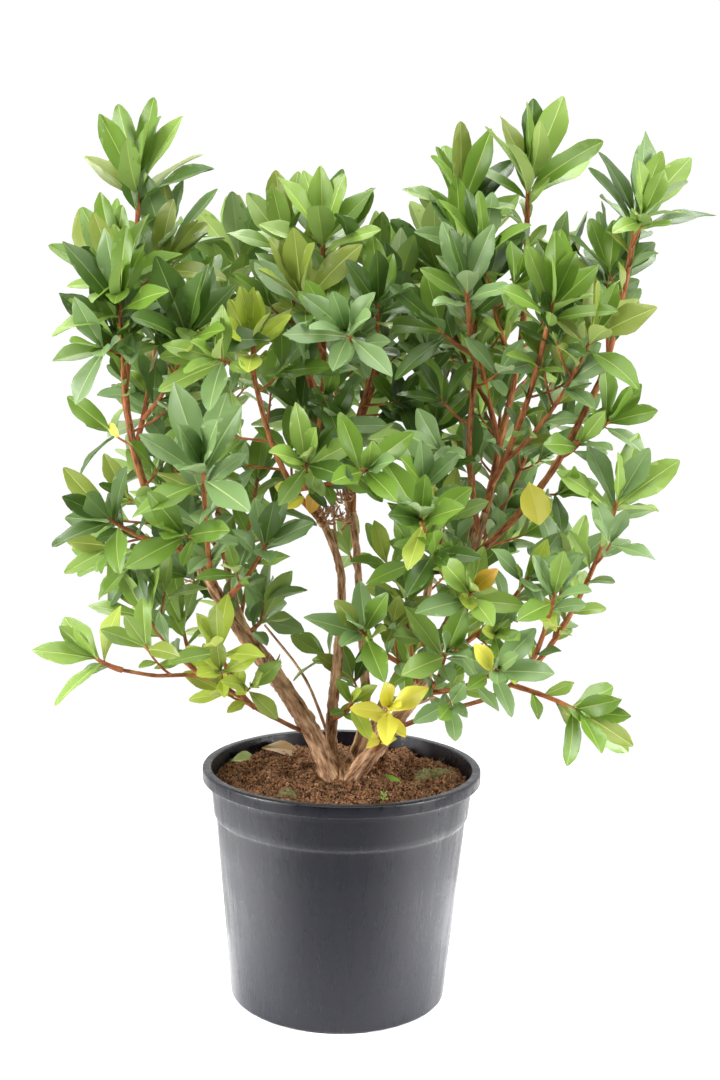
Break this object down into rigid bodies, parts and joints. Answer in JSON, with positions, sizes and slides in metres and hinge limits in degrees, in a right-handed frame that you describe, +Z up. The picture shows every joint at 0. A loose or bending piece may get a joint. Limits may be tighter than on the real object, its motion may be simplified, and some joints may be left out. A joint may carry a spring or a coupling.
{
  "type": "azalea shrub in a nursery pot",
  "caption": "Open, upright azalea shrub with several bare stems and whorls of narrow green leaves, standing in a round black nursery pot.",
  "frame": {"origin": "centre of the pot's flat underside", "axes": "+Z up, -Y towards the front of the plant, +X to its right seen from the front"},
  "size_m": [0.8038, 0.5504, 1.1322],
  "materials": {
    "pot_plastic": "semi-gloss moulded",
    "soil": "crumbly potting peat",
    "bark": "flaky bark",
    "young_bark": "smooth red-brown bark",
    "leaves": "satin leaf",
    "yellow_leaves": "satin leaf"
  },
  "bodies": {
    "root": {"back_left_low_foliage": "leaves", "back_left_side_foliage": "leaves", "back_left_stem": "bark", "back_left_top_foliage": "leaves", "back_middle_foliage": "leaves", "back_right_low_foliage": "leaves", "back_right_side_foliage": "leaves", "back_right_stem": "bark", "back_right_top_foliage": "leaves", "center_back_foliage": "leaves", "center_dark_foliage": "leaves", "center_front_foliage": "leaves", "center_leader_foliage": "leaves", "center_left_bough": "young_bark", "center_left_foliage": "leaves", "center_left_stem": "bark", "center_low_foliage": "leaves", "center_mid_bough": "young_bark", "center_right_bough": "young_bark", "center_right_foliage": "leaves", "center_right_stem": "bark", "center_upper_left_foliage": "leaves", "left_behind_foliage": "leaves", "left_bough": "young_bark", "left_front_foliage": "leaves", "left_inner_foliage": "leaves", "left_leader_foliage": "leaves", "left_low_bough": "young_bark", "left_low_foliage": "leaves", "left_low_front_foliage": "leaves", "left_low_upper_foliage": "leaves", "left_middle_foliage": "leaves", "left_outer_foliage": "leaves", "left_side_foliage": "leaves", "left_stem": "bark", "low_shoot_foliage": "leaves", "pot": "pot_plastic", "potting_soil": "soil", "right_bough": "young_bark", "right_drooping_foliage": "leaves", "right_edge_foliage": "leaves", "right_front_foliage": "leaves", "right_front_low_foliage": "leaves", "right_front_upper_foliage": "leaves", "right_inner_foliage": "leaves", "right_inner_stem": "bark", "right_leader_bough": "young_bark", "right_leader_foliage": "leaves", "right_low_bough": "young_bark", "right_low_foliage": "leaves", "right_low_upper_foliage": "leaves", "right_middle_bough": "young_bark", "right_middle_foliage": "leaves", "right_outer_foliage": "leaves", "right_side_foliage": "leaves", "right_stem": "bark", "right_upper_foliage": "leaves", "root_crown": "bark", "yellow_shoot_foliage": "yellow_leaves"}
  },
  "joints": []
}
